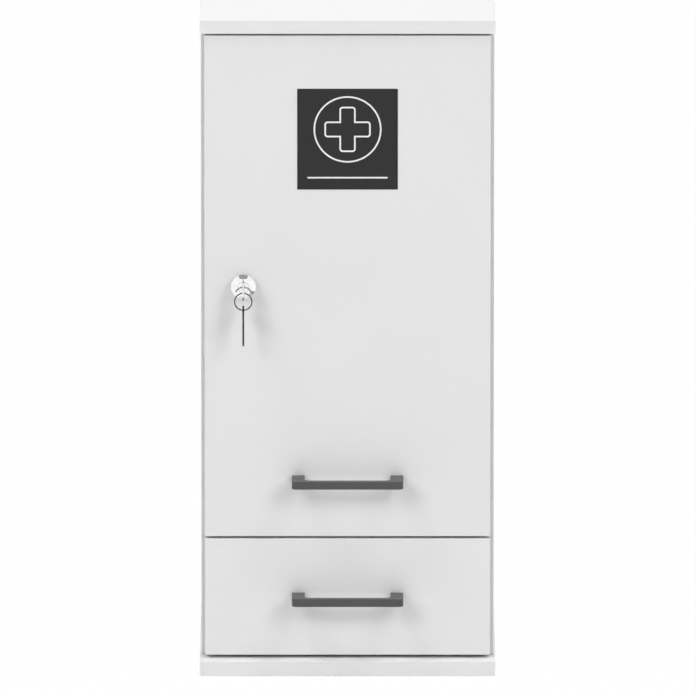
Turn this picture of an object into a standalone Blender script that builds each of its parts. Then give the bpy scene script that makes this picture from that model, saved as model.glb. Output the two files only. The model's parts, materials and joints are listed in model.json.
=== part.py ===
"""A white medicine cabinet: a locked door on concealed cup hinges above a drawer on roller runners.

Metres, +Z up, the fronts face -Y. The origin is the centre of the base board's underside.
Heights are above the floor. Depths are set back from the front edges of the side panels.
"""

import math

import bmesh
import bpy
from mathutils import Matrix, Vector

# Boards of the carcass
BOARD = 0.018
SEAT = 0.0003
CARCASS_WIDTH = 0.380
CARCASS_DEPTH = 0.300
SIDE_HEIGHT = 0.8302
BASE_THICK = 0.020
BASE_SIDE_PROUD = 0.002
BASE_FRONT_PROUD = 0.038
TOP_SIDE_PROUD = 0.001
TOP_FRONT_PROUD = 0.023
BACK_THICK = 0.005
BACK_LAP = 0.009
BACK_INSET = 0.001
EDGE_ROUND = 0.0008
SHELF_THICK = 0.018
SHELF_SETBACK = 0.030
SHELF_UNDERSIDES = {"lower": 0.402, "upper": 0.618}

# Shelf pins and their holes
PIN_RADIUS = 0.0024
PIN_HOLE_RADIUS = 0.0027
PIN_INSERT = 0.0100
PIN_HEAD_RADIUS = 0.0034
PIN_HEAD_LENGTH = 0.0075
PIN_COLLAR_RADIUS = 0.0044
PIN_COLLAR = 0.0014
PIN_PITCH = 0.032
PIN_SETBACKS = {"front": 0.060, "rear": 0.240}

# Door and drawer front
FRONT_THICK = 0.018
FRONT_STANDOFF = 0.002
SIDE_REVEAL = 0.0045
FRONT_GAP = 0.003
DRAWER_FRONT_HEIGHT = 0.1555
DRAWER_FLOOR_GAP = 0.0042

# Bow handles and their screws
HANDLE_LENGTH = 0.1448
HANDLE_HOLES = 0.128
HANDLE_LEG = 0.0168
HANDLE_HEIGHT = 0.0104
HANDLE_PROJECTION = 0.038
HANDLE_BAR_DEPTH = 0.0092
HANDLE_OUTER_ROUND = 0.0055
HANDLE_INNER_ROUND = 0.0065
HANDLE_EDGE = 0.0007
DOOR_HANDLE_RISE = 0.0763
DRAWER_HANDLE_RISE = 0.0783
SCREW_RADIUS = 0.0020
SCREW_HEAD_RADIUS = 0.0043
SCREW_HEAD = 0.0024
SCREW_GRIP = 0.0100
SCREW_PLAY = 0.0004

# Concealed hinge: pin places in from the side panel's face or the door's edge
HINGE_FROM_END = 0.100
PIN_A = (0.0200, 0.0090)
PIN_B = (0.0210, -0.0085)
PIN_C = (0.0098, 0.0030)
PIN_D = (0.0145, 0.0053)
CUP_FROM_EDGE = 0.0225
CUP_RADIUS = 0.0175
CUP_WALL = 0.0009
CUP_DEPTH = 0.0122
CUP_FLOOR = 0.0008
CUP_FLANGE = 0.0010
CUP_WING_SPAN = 0.064
CUP_WING_WIDTH = 0.016
CUP_PLAY = 0.0003
HINGE_ROD = 0.0010
HINGE_EYE_PLAY = 0.0003
LONG_LINK_EYE = 0.0019
LONG_LINK_WAIST = 0.0010
LONG_LINK_WIDTH = 0.0060
LONG_LINK_SWEEP = (0.891, -0.01164)
ARM_FLANGE_GAP = 0.0006
ARM_METAL = 0.0015
ARM_NOSE = 0.0021
ARM_HEIGHT = 0.0095
ARM_REAR = 0.058
CHEEK_METAL = 0.0015
CHEEK_EYE = 0.0020
HOOK_HALF_WIDTH = 0.00165
HOOK_FLOOR = 0.0028
HOOK_METAL = 0.0016
PLATE_THICK = 0.0020
PLATE_FROM = 0.020
PLATE_LENGTH = 0.042
PLATE_WIDTH = 0.012
PLATE_FRONT_WIDTH = 0.0104
PLATE_WING_SPAN = 0.050
PLATE_WING_WIDTH = 0.014
PLATE_WING_SETBACK = 0.037
PLATE_RAIL_HEIGHT = 0.0050

# Key lock on the door
LOCK_FROM_EDGE = 0.0505
LOCK_HEIGHT = 0.517
COLLAR_RADIUS = 0.0160
COLLAR_THICK = 0.0117
COLLAR_FACE_APOTHEM = 0.0112
COLLAR_BEVEL_DEPTH = 0.0040
COLLAR_TUBE_RADIUS = 0.0110
COLLAR_TUBE_LENGTH = 0.0150
PLUG_RADIUS = 0.0070
PLUG_RECESS = 0.0002
LOCK_PLAY = 0.0003
CASE_SIDE_GAP = 0.0018
CASE_WIDTH = 0.0518
CASE_HEIGHT = 0.042
CASE_DEPTH = 0.0185
CASE_WALL = 0.0015
BOLT_SETBACK = 0.0080
BOLT_THICK = 0.0060
BOLT_HEAD_HEIGHT = 0.015
BOLT_THROW = 0.009
BOLT_PLAY = 0.0004
CRANK_RADIUS = 0.0015
YOKE_RIM = 0.0030
YOKE_SLACK = 0.00125
STRIKE_THICK = 0.0012
STRIKE_WIDTH = 0.018
STRIKE_HEIGHT = 0.044
STRIKE_SETBACK = 0.0025

# Keys and their ring
KEY_THICK = 0.0023
KEY_BOW_LENGTH = 0.0207
KEY_BOW_WIDTH = 0.0290
KEY_SLOT_FROM_END = 0.0045
KEY_SLOT = (0.0055, 0.0100)
KEY_SHOULDER = 0.0040
KEY_SHOULDER_WIDTH = 0.0120
KEY_BLADE = 0.0290
KEY_BLADE_WIDTH = 0.0078
KEY_NOTCH_DEPTHS = (0.0014, 0.0022, 0.0010, 0.0018)
KEY_TIP = 0.0030
RING_RADIUS = 0.0112
RING_WIRE = 0.0008

# Bumpers between the door and the carcass
BUMPER_RADIUS = 0.0040
BUMPER_FROM_END = 0.018

# Drawer box
DRAWER_BOARD = 0.012
DRAWER_DEPTH = 0.250
DRAWER_BOX_HEIGHT = 0.100
DRAWER_BOX_LIFT = 0.018
DRAWER_BOTTOM_THICK = 0.004
DRAWER_BOTTOM_RISE = 0.008
DRAWER_GROOVE = 0.005
DRAWER_SIDE_SPACE = 0.0127

# Roller runners
RAIL_METAL = 0.0012
RAIL_SETBACK = 0.004
RAIL_LENGTH = 0.250
ROLLER_RADIUS = 0.0090
ROLLER_WIDTH = 0.0072
ROLLER_EDGE = 0.0012
ROLLER_BORE = 0.0028
AXLE_RADIUS = 0.0025
RAIL_PLAY = 0.0003
FRONT_ROLLER_SETBACK = 0.014
REAR_ROLLER_FROM_END = 0.010
CHANNEL_HEAD_PLAY = 0.0012

ROUND_SIDES = 32
SMALL_SIDES = 16

# Places worked out from the sizes above
FRONT_PLANE = (BASE_FRONT_PROUD - CARCASS_DEPTH) / 2
BACK_PLANE = FRONT_PLANE + CARCASS_DEPTH
SIDE_OUT = CARCASS_WIDTH / 2
SIDE_IN = SIDE_OUT - BOARD
SIDE_FOOT = BASE_THICK + SEAT
SIDE_TOP = SIDE_FOOT + SIDE_HEIGHT
TOP_UNDERSIDE = SIDE_TOP + SEAT
DOOR_BACK = FRONT_PLANE - FRONT_STANDOFF
DOOR_FACE = DOOR_BACK - FRONT_THICK
FRONT_EDGE = SIDE_OUT - SIDE_REVEAL
DRAWER_FRONT_FOOT = BASE_THICK + DRAWER_FLOOR_GAP
DRAWER_FRONT_TOP = DRAWER_FRONT_FOOT + DRAWER_FRONT_HEIGHT
DOOR_FOOT = DRAWER_FRONT_TOP + FRONT_GAP
DOOR_TOP = TOP_UNDERSIDE - FRONT_GAP
DIVIDER_FOOT = DOOR_FOOT - FRONT_GAP / 2 - BOARD / 2
DIVIDER_TOP = DIVIDER_FOOT + BOARD
BACK_REAR_FACE = BACK_PLANE - BACK_INSET
BACK_FRONT_FACE = BACK_REAR_FACE - BACK_THICK
INNER_REAR = BACK_FRONT_FACE - SEAT
LOCK_ACROSS = LOCK_FROM_EDGE - FRONT_EDGE
KEY_LENGTH = KEY_BOW_LENGTH + KEY_SHOULDER + KEY_BLADE
COLLAR_FACE = DOOR_FACE - SEAT - COLLAR_THICK
PLUG_FACE = COLLAR_FACE + PLUG_RECESS
KEY_END = PLUG_FACE - SEAT - KEY_SHOULDER - KEY_BOW_LENGTH
SLOT_MIDDLE = KEY_SLOT_FROM_END + KEY_SLOT[0] / 2
RING_PLANE = KEY_END + SLOT_MIDDLE
RING_TOP_WIRE = LOCK_HEIGHT - KEY_SLOT[1] / 2 + SEAT + RING_WIRE
RING_MIDDLE = RING_TOP_WIRE - RING_RADIUS
RING_LOW_WIRE = RING_MIDDLE - RING_RADIUS
SPARE_TOP = RING_LOW_WIRE + RING_WIRE + SEAT + KEY_SLOT_FROM_END
BOLT_FRONT = FRONT_PLANE + BOLT_SETBACK
BOLT_REAR = BOLT_FRONT + BOLT_THICK
CASE_LEFT = -SIDE_IN + CASE_SIDE_GAP
DRAWER_BOX_FOOT = BASE_THICK + DRAWER_BOX_LIFT
DRAWER_OUT = SIDE_IN - DRAWER_SIDE_SPACE
DRAWER_IN = DRAWER_OUT - DRAWER_BOARD
DRAWER_FRONT_END = DOOR_BACK + SEAT
DRAWER_REAR = DRAWER_FRONT_END + DRAWER_DEPTH
RAIL_FLOOR = DRAWER_BOX_FOOT - SEAT
ROLLER_HEIGHT = RAIL_FLOOR + RAIL_PLAY + ROLLER_RADIUS
FLANGE_UNDERSIDE = ROLLER_HEIGHT + ROLLER_RADIUS + RAIL_PLAY
FRONT_ROLLER_AXIS = FRONT_PLANE + FRONT_ROLLER_SETBACK
REAR_ROLLER_AXIS = DRAWER_REAR - REAR_ROLLER_FROM_END


def start_scene():
    """Empty the scene and make the two collections."""
    for old in list(bpy.data.objects):
        bpy.data.objects.remove(old, do_unlink=True)
    made = []
    for name in ("medicine_cabinet", "cutters"):
        group = bpy.data.collections.new(name)
        bpy.context.scene.collection.children.link(group)
        made.append(group)
    return made


PARTS, CUTTERS = start_scene()


# Materials

def finish(name, colour, roughness, metallic):
    """Return a Principled material, made once."""
    known = bpy.data.materials.get(name)
    if known:
        return known
    made = bpy.data.materials.new(name)
    made.use_nodes = True
    shader = made.node_tree.nodes["Principled BSDF"]
    shader.inputs["Base Color"].default_value = (*colour, 1.0)
    shader.inputs["Roughness"].default_value = roughness
    shader.inputs["Metallic"].default_value = metallic
    made.diffuse_color = (*colour, 1.0)
    return made


def front_white():
    return finish("front_white", (0.82, 0.82, 0.82), 0.45, 0.0)


def board_white():
    return finish("board_white", (0.80, 0.80, 0.80), 0.50, 0.0)


def back_board_white():
    return finish("back_board_white", (0.76, 0.76, 0.75), 0.60, 0.0)


def handle_grey():
    return finish("handle_grey", (0.105, 0.105, 0.105), 0.42, 0.3)


def lock_chrome():
    return finish("lock_chrome", (0.80, 0.80, 0.80), 0.08, 1.0)


def key_nickel():
    return finish("key_nickel", (0.72, 0.71, 0.69), 0.20, 1.0)


def hinge_nickel():
    return finish("hinge_nickel", (0.66, 0.65, 0.63), 0.28, 1.0)


def screw_zinc():
    return finish("screw_zinc", (0.62, 0.62, 0.60), 0.35, 1.0)


def rail_white():
    return finish("rail_white", (0.78, 0.78, 0.78), 0.35, 0.2)


def roller_nylon():
    return finish("roller_nylon", (0.70, 0.70, 0.68), 0.40, 0.0)


def pin_nickel():
    return finish("pin_nickel", (0.60, 0.60, 0.58), 0.30, 1.0)


def bumper_clear():
    return finish("bumper_clear", (0.75, 0.76, 0.76), 0.25, 0.0)


# Shapes

def new_object(name, mesh, place, group):
    """Link an object made from a mesh and put it in place."""
    piece = bpy.data.objects.new(name, mesh)
    piece.matrix_world = place
    group.objects.link(piece)
    if group is CUTTERS:
        piece.hide_render = True
        piece.display_type = "WIRE"
    return piece


def block(name, low, high, group=None):
    """A box between two corners, with its origin at its middle."""
    low = Vector(low)
    high = Vector(high)
    shape = bmesh.new()
    bmesh.ops.create_cube(shape, size=1.0, matrix=Matrix.Diagonal((*(high - low), 1.0)))
    mesh = bpy.data.meshes.new(name)
    shape.to_mesh(mesh)
    shape.free()
    return new_object(name, mesh, Matrix.Translation((low + high) / 2), group or PARTS)


def rod(name, start, end, radius, sides=SMALL_SIDES, group=None):
    """A cylinder from one point to another, with its origin at its middle."""
    start = Vector(start)
    end = Vector(end)
    run = end - start
    shape = bmesh.new()
    bmesh.ops.create_cone(
        shape, cap_ends=True, segments=sides, radius1=radius, radius2=radius, depth=run.length)
    mesh = bpy.data.meshes.new(name)
    shape.to_mesh(mesh)
    shape.free()
    turn = run.to_track_quat("Z", "Y").to_matrix().to_4x4()
    return new_object(name, mesh, Matrix.Translation((start + end) / 2) @ turn, group or PARTS)


def circle(centre, radius, sides=SMALL_SIDES):
    """Points of a full circle."""
    return arc(centre, radius, 0.0, 2 * math.pi * (1 - 1 / sides), sides - 1)


def arc(centre, radius, start, end, steps):
    """Points along an arc, from one angle to another."""
    points = []
    for step in range(steps + 1):
        angle = start + (end - start) * step / steps
        points.append((centre[0] + radius * math.cos(angle), centre[1] + radius * math.sin(angle)))
    return points


def outline_plate(name, outlines, thickness, place, group=None):
    """A flat outline with any holes, given thickness about its own plane and made a mesh."""
    curve = bpy.data.curves.new(name, "CURVE")
    curve.dimensions = "2D"
    curve.fill_mode = "BOTH"
    curve.extrude = thickness / 2
    for points in outlines:
        spline = curve.splines.new("POLY")
        spline.points.add(len(points) - 1)
        for point, (across, along) in zip(spline.points, points):
            point.co = (across, along, 0.0, 1.0)
        spline.use_cyclic_u = True
    drawn = bpy.data.objects.new(name + "_outline", curve)
    CUTTERS.objects.link(drawn)
    bpy.context.view_layer.update()
    mesh = bpy.data.meshes.new_from_object(drawn.evaluated_get(bpy.context.evaluated_depsgraph_get()))
    bpy.data.objects.remove(drawn, do_unlink=True)
    bpy.data.curves.remove(curve)
    mesh.name = name
    shape = bmesh.new()
    shape.from_mesh(mesh)
    bmesh.ops.remove_doubles(shape, verts=shape.verts, dist=0.000005)
    bmesh.ops.dissolve_limit(
        shape, angle_limit=math.radians(0.5), verts=shape.verts, edges=shape.edges)
    shape.to_mesh(mesh)
    shape.free()
    mesh.materials.clear()
    return new_object(name, mesh, place, group or PARTS)


def turned(name, profile, sides, place, group=None):
    """A solid of revolution about its own Z, from (radius, height) points that run top to bottom."""
    mesh = bpy.data.meshes.new(name)
    hollow = profile[0] == profile[-1]
    if hollow:
        profile = profile[:-1]
    points = [(radius, 0.0, height) for radius, height in profile]
    edges = [(index, index + 1) for index in range(len(points) - 1)]
    if hollow:
        edges.append((len(points) - 1, 0))
    mesh.from_pydata(points, edges, [])
    piece = new_object(name, mesh, place, group or PARTS)
    screw = piece.modifiers.new("Turn", "SCREW")
    screw.steps = sides
    screw.render_steps = sides
    screw.use_merge_vertices = True
    screw.merge_threshold = 0.00001
    return piece


def cut(piece, cutter):
    """Take a cutter's shape out of a piece."""
    change = piece.modifiers.new("Cut " + cutter.name, "BOOLEAN")
    change.operation = "DIFFERENCE"
    change.object = cutter


def add(piece, extra):
    """Join a helper's shape to a piece."""
    change = piece.modifiers.new("Add " + extra.name, "BOOLEAN")
    change.operation = "UNION"
    change.object = extra


def keep_inside(piece, limit):
    """Keep only what lies inside a helper's shape."""
    change = piece.modifiers.new("Within " + limit.name, "BOOLEAN")
    change.operation = "INTERSECT"
    change.object = limit


def round_edges(piece, width=EDGE_ROUND, segments=1):
    """Round the sharp edges."""
    bevel = piece.modifiers.new("Edges", "BEVEL")
    bevel.width = width
    bevel.segments = segments
    bevel.limit_method = "ANGLE"
    bevel.angle_limit = math.radians(40)


def smooth(piece, angle=35):
    """Shade round faces smooth and keep real edges sharp."""
    piece.data.shade_smooth()
    piece.data.set_sharp_from_angle(angle=math.radians(angle))


def dress(piece, material):
    """Give a piece its material."""
    piece.data.materials.append(material)
    return piece


def pivot(name, place):
    """An empty on a joint's axis."""
    axis = bpy.data.objects.new(name, None)
    axis.location = place
    axis.empty_display_size = 0.02
    PARTS.objects.link(axis)
    return axis


def hang(pieces, axis):
    """Parent pieces to an empty and leave them where they are."""
    for piece in pieces:
        piece.parent = axis
        piece.matrix_parent_inverse = Matrix.Translation(axis.location).inverted()


def plan_place(height):
    """An outline drawn in plan: its X and Y are the world's."""
    return Matrix.Translation((0, 0, height))


def side_view_place(across):
    """An outline drawn from the side: its X is the world's Y and its Y is the world's Z."""
    turn = Matrix(((0, 0, 1, 0), (1, 0, 0, 0), (0, 1, 0, 0), (0, 0, 0, 1)))
    return Matrix.Translation((across, 0, 0)) @ turn


def front_view_place(depth):
    """An outline drawn from the front: its X is the world's X and its Y is the world's Z."""
    turn = Matrix(((1, 0, 0, 0), (0, 0, -1, 0), (0, 1, 0, 0), (0, 0, 0, 1)))
    return Matrix.Translation((0, depth, 0)) @ turn


# Carcass

def board(name, low, high, segments=1):
    """A coated board with slightly rounded edges."""
    piece = block(name, low, high)
    round_edges(piece, EDGE_ROUND, segments)
    return dress(piece, board_white())


def make_top_panel():
    half = SIDE_OUT + TOP_SIDE_PROUD
    low = (-half, FRONT_PLANE - TOP_FRONT_PROUD, TOP_UNDERSIDE)
    high = (half, BACK_PLANE, TOP_UNDERSIDE + BOARD)
    return board("top_panel", low, high, 2)


def make_base_panel():
    half = SIDE_OUT + BASE_SIDE_PROUD
    low = (-half, FRONT_PLANE - BASE_FRONT_PROUD, 0)
    high = (half, BACK_PLANE, BASE_THICK)
    return board("base_panel", low, high, 2)


def pin_hole_heights():
    """Heights of the shelf pin holes: one row for each shelf and one above and below it."""
    heights = []
    for underside in SHELF_UNDERSIDES.values():
        seat = underside - SEAT - PIN_HEAD_RADIUS
        heights.extend((seat - PIN_PITCH, seat, seat + PIN_PITCH))
    return heights


def make_side_panel(name, sign):
    """A side panel with its shelf pin holes and a rebate for the back panel."""
    inner = sign * SIDE_IN
    outer = sign * SIDE_OUT
    low = (min(inner, outer), FRONT_PLANE, SIDE_FOOT)
    high = (max(inner, outer), BACK_PLANE, SIDE_TOP)
    panel = board(name, low, high)
    lap_low = min(inner - sign * SEAT, inner + sign * BACK_LAP)
    lap_high = max(inner - sign * SEAT, inner + sign * BACK_LAP)
    rebate = block(
        name + "_rebate", (lap_low, INNER_REAR, SIDE_FOOT - SEAT),
        (lap_high, BACK_PLANE + SEAT, SIDE_TOP + SEAT), CUTTERS)
    cut(panel, rebate)
    depth = PIN_INSERT + SEAT * 2
    for setback in PIN_SETBACKS.values():
        for height in pin_hole_heights():
            hole = rod(
                name + "_pin_hole", (inner - sign * SEAT, FRONT_PLANE + setback, height),
                (inner + sign * depth, FRONT_PLANE + setback, height), PIN_HOLE_RADIUS, 12, CUTTERS)
            cut(panel, hole)
    return panel


def cut_bolt_pocket(panel):
    """Let the strike plate into the left side panel, with a pocket behind it for the bolt."""
    low_y = FRONT_PLANE + STRIKE_SETBACK - SEAT
    high_y = low_y + STRIKE_WIDTH + 2 * SEAT
    half = STRIKE_HEIGHT / 2 + SEAT
    recess = block(
        "strike_recess", (-SIDE_IN - STRIKE_THICK - SEAT, low_y, LOCK_HEIGHT - half),
        (-SIDE_IN + SEAT, high_y, LOCK_HEIGHT + half), CUTTERS)
    cut(panel, recess)
    half = BOLT_HEAD_HEIGHT / 2 + 2 * BOLT_PLAY
    reach = BOLT_THROW + SEAT
    pocket = block(
        "bolt_pocket", (-SIDE_IN - reach, BOLT_FRONT - 2 * BOLT_PLAY, LOCK_HEIGHT - half),
        (-SIDE_IN + SEAT, BOLT_REAR + 2 * BOLT_PLAY, LOCK_HEIGHT + half), CUTTERS)
    cut(panel, pocket)


def make_lock_strike():
    """The steel plate that the bolt enters."""
    low_y = FRONT_PLANE + STRIKE_SETBACK
    plate = block(
        "lock_strike", (-SIDE_IN - STRIKE_THICK, low_y, LOCK_HEIGHT - STRIKE_HEIGHT / 2),
        (-SIDE_IN, low_y + STRIKE_WIDTH, LOCK_HEIGHT + STRIKE_HEIGHT / 2))
    half = BOLT_HEAD_HEIGHT / 2 + BOLT_PLAY
    window = block(
        "strike_window", (-SIDE_IN - 2 * STRIKE_THICK, BOLT_FRONT - BOLT_PLAY, LOCK_HEIGHT - half),
        (-SIDE_IN + STRIKE_THICK, BOLT_REAR + BOLT_PLAY, LOCK_HEIGHT + half), CUTTERS)
    cut(plate, window)
    return dress(plate, hinge_nickel())


def make_back_panel():
    half = SIDE_IN + BACK_LAP - SEAT
    panel = block(
        "back_panel", (-half, BACK_FRONT_FACE, SIDE_FOOT), (half, BACK_REAR_FACE, SIDE_TOP))
    return dress(panel, back_board_white())


def make_divider_panel():
    half = SIDE_IN - SEAT
    return board("divider_panel", (-half, FRONT_PLANE, DIVIDER_FOOT), (half, INNER_REAR, DIVIDER_TOP))


def make_shelves():
    half = SIDE_IN - SEAT - PIN_COLLAR
    for name, underside in SHELF_UNDERSIDES.items():
        low = (-half, FRONT_PLANE + SHELF_SETBACK, underside)
        high = (half, INNER_REAR, underside + SHELF_THICK)
        board(name + "_shelf", low, high)


def make_shelf_pins():
    """Eight turned pins: an insert, a collar against the side panel and a head under the shelf."""
    profile = [
        (0.0, PIN_HEAD_LENGTH),
        (PIN_HEAD_RADIUS - EDGE_ROUND, PIN_HEAD_LENGTH),
        (PIN_HEAD_RADIUS, PIN_HEAD_LENGTH - EDGE_ROUND),
        (PIN_HEAD_RADIUS, PIN_COLLAR),
        (PIN_COLLAR_RADIUS, PIN_COLLAR),
        (PIN_COLLAR_RADIUS, SEAT),
        (PIN_RADIUS, SEAT),
        (PIN_RADIUS, EDGE_ROUND - PIN_INSERT),
        (PIN_RADIUS - EDGE_ROUND, -PIN_INSERT),
        (0.0, -PIN_INSERT),
    ]
    for shelf, underside in SHELF_UNDERSIDES.items():
        for side, sign in (("left", -1), ("right", 1)):
            for where, setback in PIN_SETBACKS.items():
                place = Matrix.Translation(
                    (sign * SIDE_IN, FRONT_PLANE + setback, underside - SEAT - PIN_HEAD_RADIUS))
                lie = Matrix.Rotation(-sign * math.pi / 2, 4, "Y")
                name = "shelf_pin_" + shelf + "_" + side + "_" + where
                pin = turned(name, profile, 12, place @ lie)
                smooth(pin)
                dress(pin, pin_nickel())


# Fronts and handles

def make_front(name, foot, top):
    """A full-overlay front board."""
    front = block(name, (-FRONT_EDGE, DOOR_FACE, foot), (FRONT_EDGE, DOOR_BACK, top))
    round_edges(front, EDGE_ROUND, 2)
    return dress(front, front_white())


def handle_outline():
    """Half-round-cornered bow in plan, with its feet on the front board's face."""
    foot = DOOR_FACE - SEAT
    reach = DOOR_FACE - HANDLE_PROJECTION
    half = HANDLE_LENGTH / 2
    inner = half - HANDLE_LEG
    bar = reach + HANDLE_BAR_DEPTH
    outer = HANDLE_OUTER_ROUND
    turn = HANDLE_INNER_ROUND
    points = [(-half, foot)]
    points += arc((-half + outer, reach + outer), outer, math.pi, 1.5 * math.pi, 5)
    points += arc((half - outer, reach + outer), outer, 1.5 * math.pi, 2 * math.pi, 5)
    points += [(half, foot), (inner, foot)]
    points += arc((inner - turn, bar + turn), turn, 0.0, -0.5 * math.pi, 5)
    points += arc((-inner + turn, bar + turn), turn, 1.5 * math.pi, math.pi, 5)
    points += [(-inner, foot)]
    return points


def make_handle(name, height):
    """A flat metal bow handle with blind screw holes in its legs."""
    handle = outline_plate(name, [handle_outline()], HANDLE_HEIGHT, plan_place(height))
    round_edges(handle, HANDLE_EDGE, 2)
    for side in (-1, 1):
        across = side * HANDLE_HOLES / 2
        bore = rod(
            name + "_bore", (across, DOOR_FACE - SCREW_GRIP - SCREW_PLAY, height),
            (across, DOOR_FACE + SEAT, height), SCREW_RADIUS + SCREW_PLAY, 12, CUTTERS)
        cut(handle, bore)
    smooth(handle)
    return dress(handle, handle_grey())


def make_handle_screws(name, height):
    """The two pan-head screws that hold a handle from behind the board."""
    under_head = FRONT_THICK + SEAT
    profile = [
        (0.0, under_head + SCREW_HEAD),
        (SCREW_HEAD_RADIUS * 0.6, under_head + SCREW_HEAD),
        (SCREW_HEAD_RADIUS, under_head + SCREW_HEAD * 0.45),
        (SCREW_HEAD_RADIUS, under_head),
        (SCREW_RADIUS, under_head),
        (SCREW_RADIUS, -SCREW_GRIP),
        (0.0, -SCREW_GRIP),
    ]
    screws = []
    for side, sign in (("left", -1), ("right", 1)):
        place = Matrix.Translation((sign * HANDLE_HOLES / 2, DOOR_FACE, height))
        lie = Matrix.Rotation(-math.pi / 2, 4, "X")
        screw = turned(name + "_" + side, profile, 12, place @ lie)
        smooth(screw)
        screws.append(dress(screw, screw_zinc()))
    return screws


def cut_screw_holes(front, height):
    """Drill a front board for its handle screws."""
    for side in (-1, 1):
        across = side * HANDLE_HOLES / 2
        hole = rod(
            front.name + "_screw_hole", (across, DOOR_FACE - SEAT, height),
            (across, DOOR_BACK + SEAT, height), SCREW_RADIUS + SCREW_PLAY, 12, CUTTERS)
        cut(front, hole)


# Concealed hinges

def carcass_pin(pin):
    """Plan place of a pin that the hinge arm carries."""
    return (SIDE_IN - pin[0], FRONT_PLANE + pin[1])


def door_pin(pin):
    """Plan place of a pin that the cup carries, with the door shut."""
    return (FRONT_EDGE - pin[0], DOOR_BACK - pin[1])


def curved_strip(start, end, sweep, start_round, end_round, waist, steps=14):
    """Outline of a bent link: a strip along a curve, with a round eye at each end."""
    run = (end[0] - start[0], end[1] - start[1])
    length = math.hypot(*run)
    ahead = (run[0] / length, run[1] / length)
    bend = (
        start[0] + sweep[0] * run[0] - sweep[1] * ahead[1],
        start[1] + sweep[0] * run[1] + sweep[1] * ahead[0])
    left = []
    right = []
    for step in range(steps + 1):
        t = step / steps
        weights = ((1 - t) ** 2, 2 * t * (1 - t), t * t)
        x = weights[0] * start[0] + weights[1] * bend[0] + weights[2] * end[0]
        y = weights[0] * start[1] + weights[1] * bend[1] + weights[2] * end[1]
        dx = 2 * (1 - t) * (bend[0] - start[0]) + 2 * t * (end[0] - bend[0])
        dy = 2 * (1 - t) * (bend[1] - start[1]) + 2 * t * (end[1] - bend[1])
        speed = math.hypot(dx, dy)
        nearest = min(
            (math.hypot(x - start[0], y - start[1]), start_round),
            (math.hypot(x - end[0], y - end[1]), end_round))
        swell = max(0.0, 1 - (nearest[0] / nearest[1]) ** 2)
        half = max(waist, nearest[1] * math.sqrt(swell) if nearest[0] > 0 else nearest[1])
        left.append((x - dy / speed * half, y + dx / speed * half))
        right.append((x + dy / speed * half, y - dx / speed * half))
        if step == 0:
            start_angle = math.atan2(dy, dx)
        if step == steps:
            end_angle = math.atan2(dy, dx)
    quarter = math.pi / 2
    start_cap = arc(start, start_round, start_angle + quarter, start_angle + 3 * quarter, 8)
    end_cap = arc(end, end_round, end_angle - quarter, end_angle + quarter, 8)
    return start_cap + right[1:-1] + end_cap + left[-2:0:-1]


def make_long_link(name, height):
    """The bent inner link, with an eye on the arm's rod and one on the cup's rod."""
    start = carcass_pin(PIN_A)
    end = door_pin(PIN_C)
    strip = curved_strip(start, end, LONG_LINK_SWEEP, LONG_LINK_EYE, LONG_LINK_EYE, LONG_LINK_WAIST)
    hole = HINGE_ROD + HINGE_EYE_PLAY
    outlines = [strip, circle(start, hole), circle(end, hole)]
    link = outline_plate(name, outlines, LONG_LINK_WIDTH, plan_place(height))
    smooth(link)
    return dress(link, hinge_nickel())


def cheek_outline():
    """A short link's cheek: a round end on the nose rod and an open hook under the cup's stub."""
    nose = carcass_pin(PIN_B)
    stub = door_pin(PIN_D)
    half = HOOK_HALF_WIDTH
    bottom = stub[1] - HOOK_FLOOR
    lip = stub[1] - 0.1 * HOOK_FLOOR
    outer = half + HOOK_METAL
    points = arc(nose, CHEEK_EYE, 0.45 * math.pi, 1.5 * math.pi, 8)
    points += arc((stub[0] + outer - half, bottom - HOOK_METAL + half), half, 1.5 * math.pi, 2 * math.pi, 4)
    points += [(stub[0] + outer, lip), (stub[0] + half, lip)]
    points += arc((stub[0], bottom + half), half, 0.0, -math.pi, 8)
    points += [(stub[0] - half, lip), (stub[0] - 4 * outer, lip - 0.1 * HOOK_FLOOR)]
    return points


def make_short_link(name, height):
    """The outer link: two cheeks outside the arm's nose, joined by the rod that turns in it."""
    outer = LONG_LINK_WIDTH / 2 + 2 * ARM_FLANGE_GAP + ARM_METAL
    middle = outer + CHEEK_METAL / 2
    nose = carcass_pin(PIN_B)
    link = outline_plate(name, [cheek_outline()], CHEEK_METAL, plan_place(height + middle))
    other = outline_plate(
        name + "_low_cheek", [cheek_outline()], CHEEK_METAL, plan_place(height - middle), CUTTERS)
    nose_rod = rod(
        name + "_rod", (*nose, height - middle), (*nose, height + middle), HINGE_ROD, group=CUTTERS)
    add(link, nose_rod)
    add(link, other)
    smooth(link)
    return dress(link, hinge_nickel())


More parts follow.
